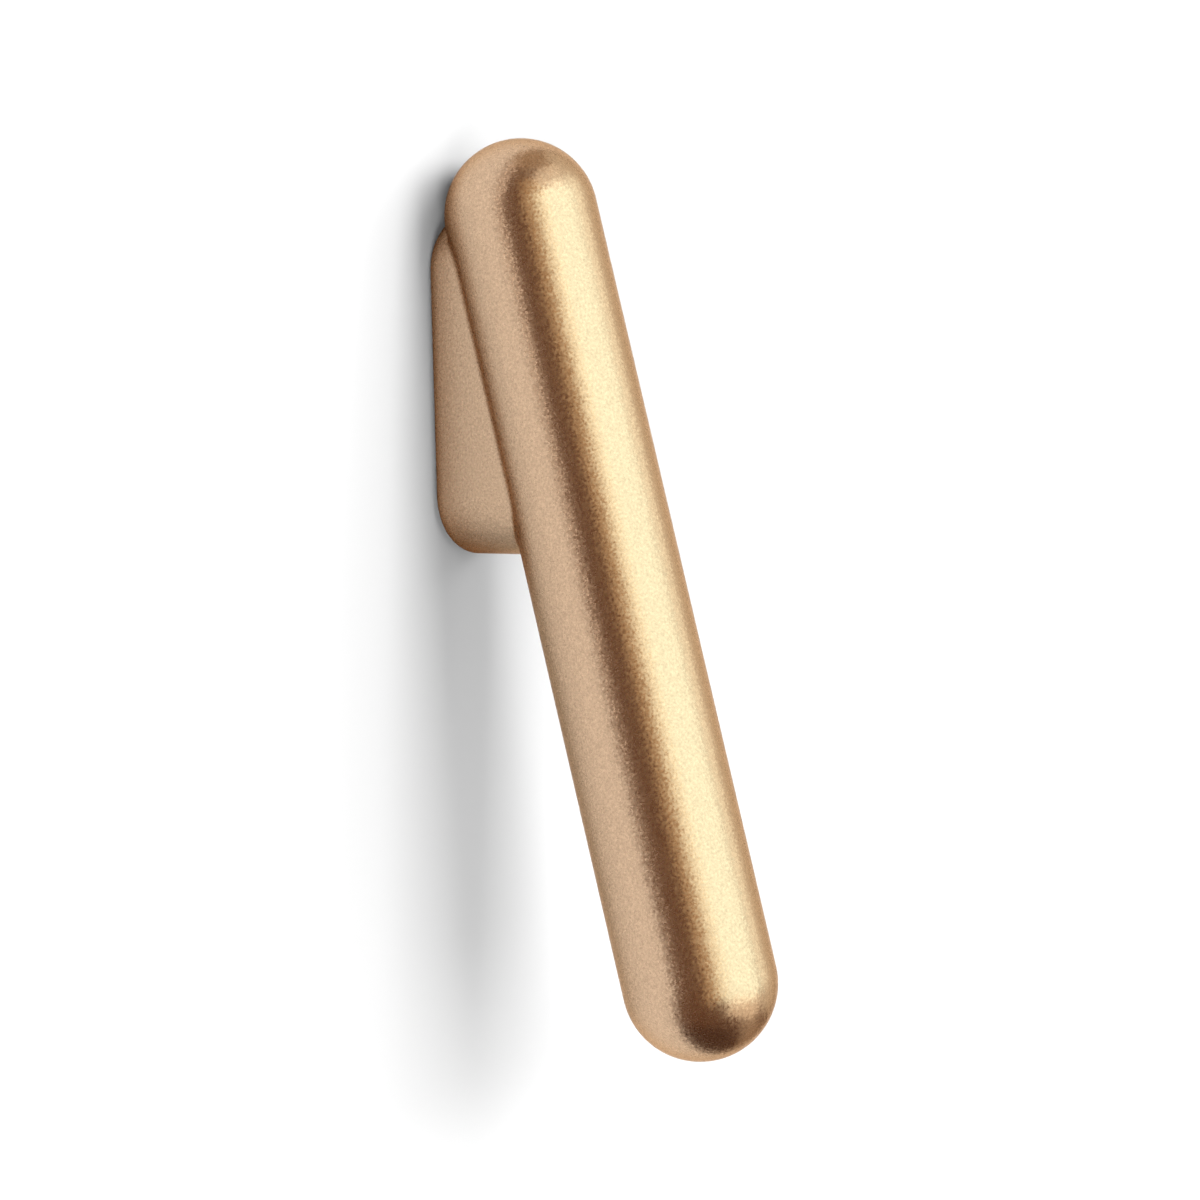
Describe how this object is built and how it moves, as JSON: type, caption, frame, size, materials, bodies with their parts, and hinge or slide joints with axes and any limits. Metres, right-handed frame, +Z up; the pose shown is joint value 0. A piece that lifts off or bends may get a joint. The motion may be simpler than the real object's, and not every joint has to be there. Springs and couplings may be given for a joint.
{
  "type": "cabinet pull",
  "caption": "Cast cabinet pull: a round bar with domed ends leans away from the door on a round-ended foot, leaving a finger gap below. Matt gold metallic finish.",
  "frame": {"origin": "middle of the foot's flat back face, where it meets the door, halfway between the two screw holes", "axes": "+Z up along the door, +Y into the door, so the pull stands out along -Y, and +X to the right of a person facing the door"},
  "size_m": [0.014, 0.0319, 0.083],
  "materials": {
    "gold_finish": "matt gold metallic coat on a zinc casting"
  },
  "bodies": {
    "root": {"pull": "gold_finish"}
  },
  "joints": []
}
